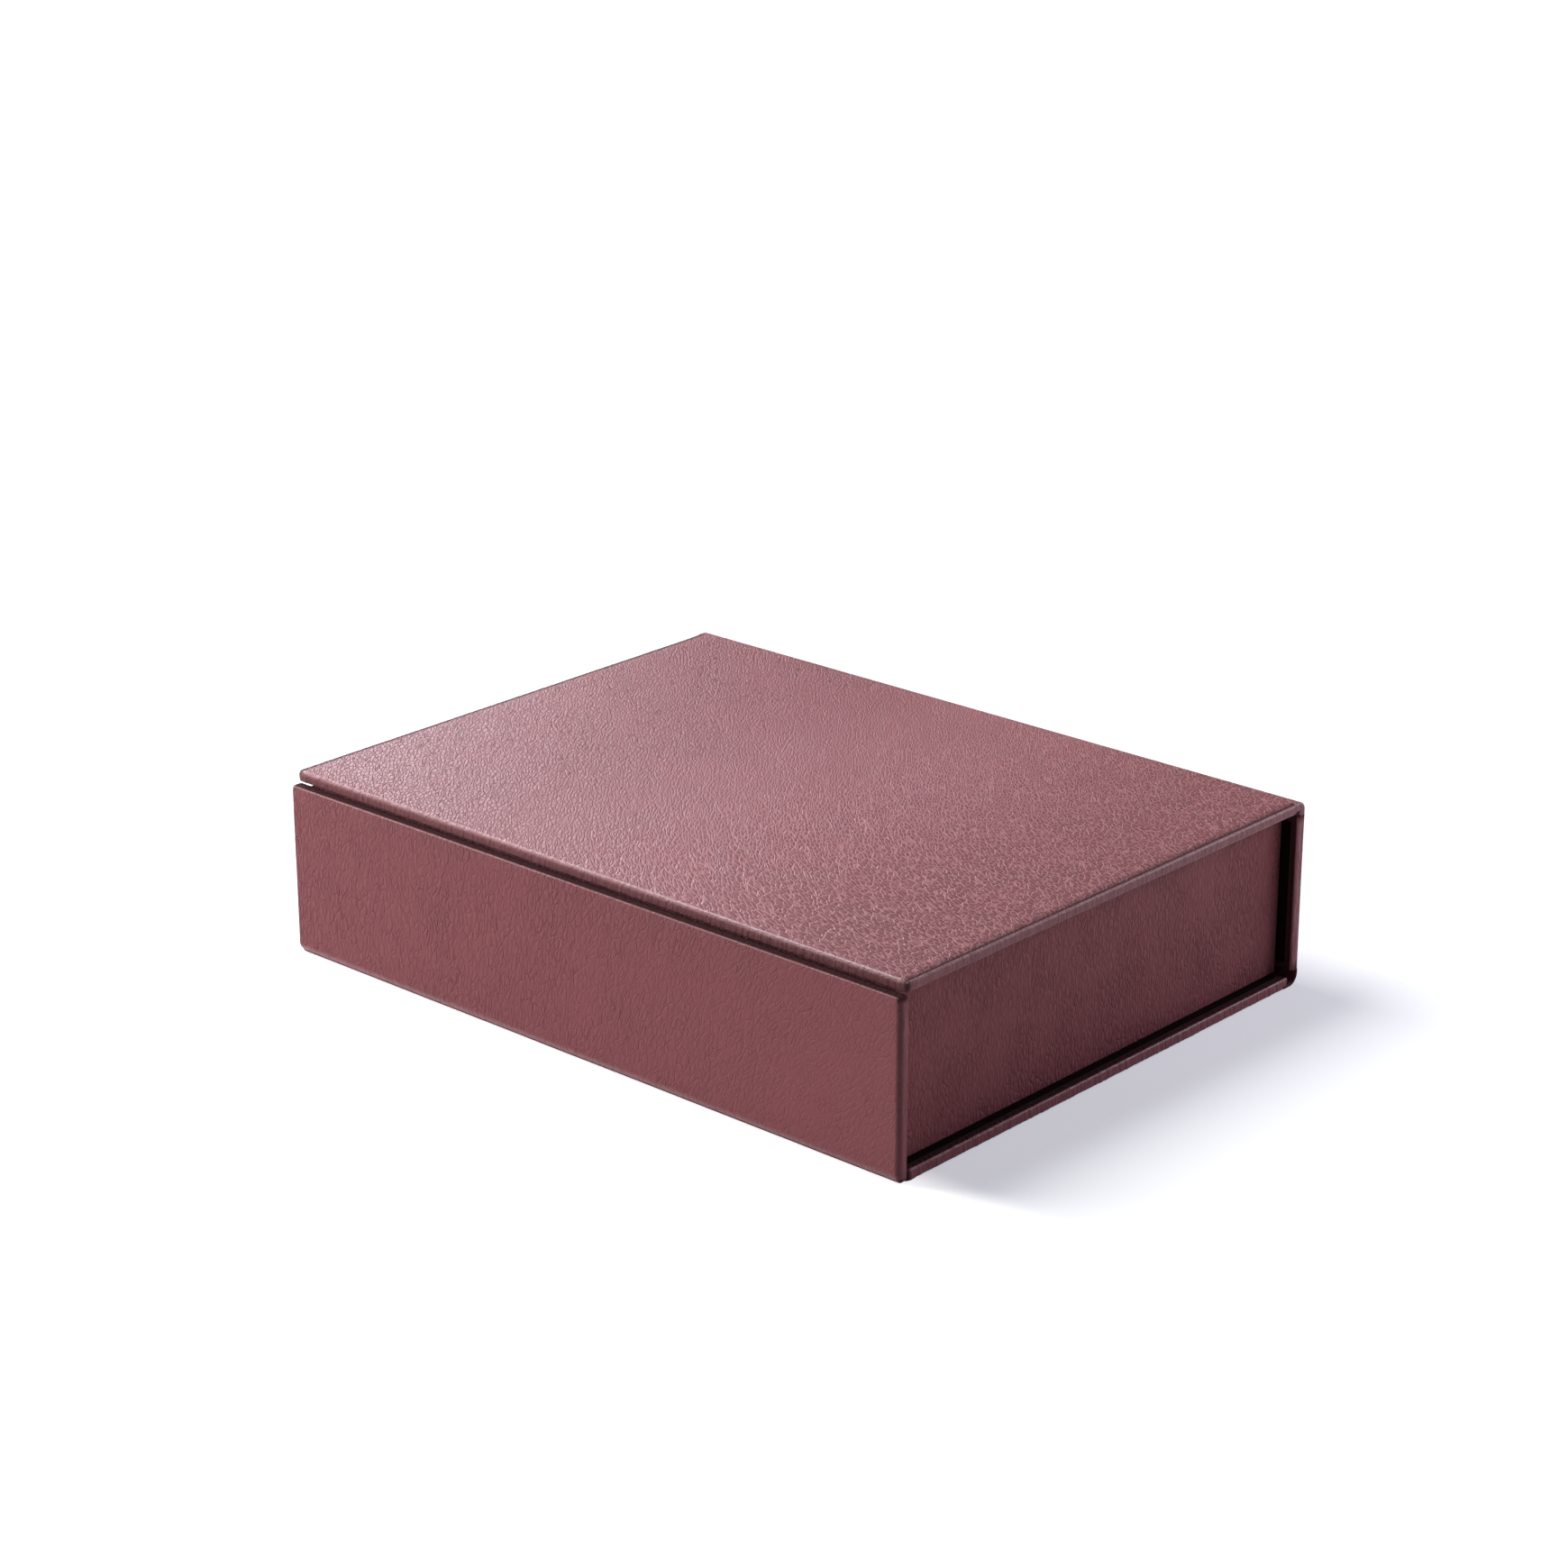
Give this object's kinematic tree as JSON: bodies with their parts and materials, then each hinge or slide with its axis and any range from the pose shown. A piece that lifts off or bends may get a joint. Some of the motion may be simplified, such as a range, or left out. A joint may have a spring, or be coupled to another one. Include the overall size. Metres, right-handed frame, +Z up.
{
  "type": "leather box",
  "caption": "Shallow leather-covered document box with a lined tray and a book-style lid that folds back with its spine on two leather hinges.",
  "frame": {"origin": "under the middle of the closed box, on the surface that it stands on", "axes": "+X along the long side, +Y from the front panel to the hinged spine, +Z up"},
  "size_m": [0.33, 0.252, 0.08],
  "materials": {
    "burgundy_leather": "satin",
    "case_lining": "matte",
    "tray_lining": "matte",
    "greyboard": "matte"
  },
  "bodies": {
    "base": {"base_board": "greyboard", "front_board": "greyboard", "tray_floor_board": "greyboard", "tray_front_wall": "greyboard", "tray_back_wall": "greyboard", "tray_left_wall": "greyboard", "tray_right_wall": "greyboard", "base_leather": "burgundy_leather", "front_leather": "burgundy_leather", "lower_hinge_leather": "burgundy_leather", "tray_front_leather": "burgundy_leather", "tray_back_leather": "burgundy_leather", "tray_left_leather": "burgundy_leather", "tray_right_leather": "burgundy_leather", "base_lining": "case_lining", "front_lining": "case_lining", "tray_floor_lining": "tray_lining", "tray_front_lining": "tray_lining", "tray_back_lining": "tray_lining", "tray_left_lining": "tray_lining", "tray_right_lining": "tray_lining"},
    "spine": {"spine_board": "greyboard", "spine_leather": "burgundy_leather", "spine_lining": "case_lining", "upper_hinge_leather": "burgundy_leather"},
    "lid": {"lid_board": "greyboard", "lid_leather": "burgundy_leather", "lid_lining": "case_lining"}
  },
  "joints": [
    {"name": "spine_hinge", "type": "hinge", "parent": "base", "child": "spine", "pos_m": [0, 0.125, 0.001], "axis": [-1, 0, 0], "range_deg": [0, 90], "deforming": ["lower_hinge_leather"]},
    {"name": "lid_hinge", "type": "hinge", "parent": "spine", "child": "lid", "pos_m": [0, 0.125, 0.079], "axis": [-1, 0, 0], "range_deg": [0, 90], "deforming": ["upper_hinge_leather"]}
  ]
}
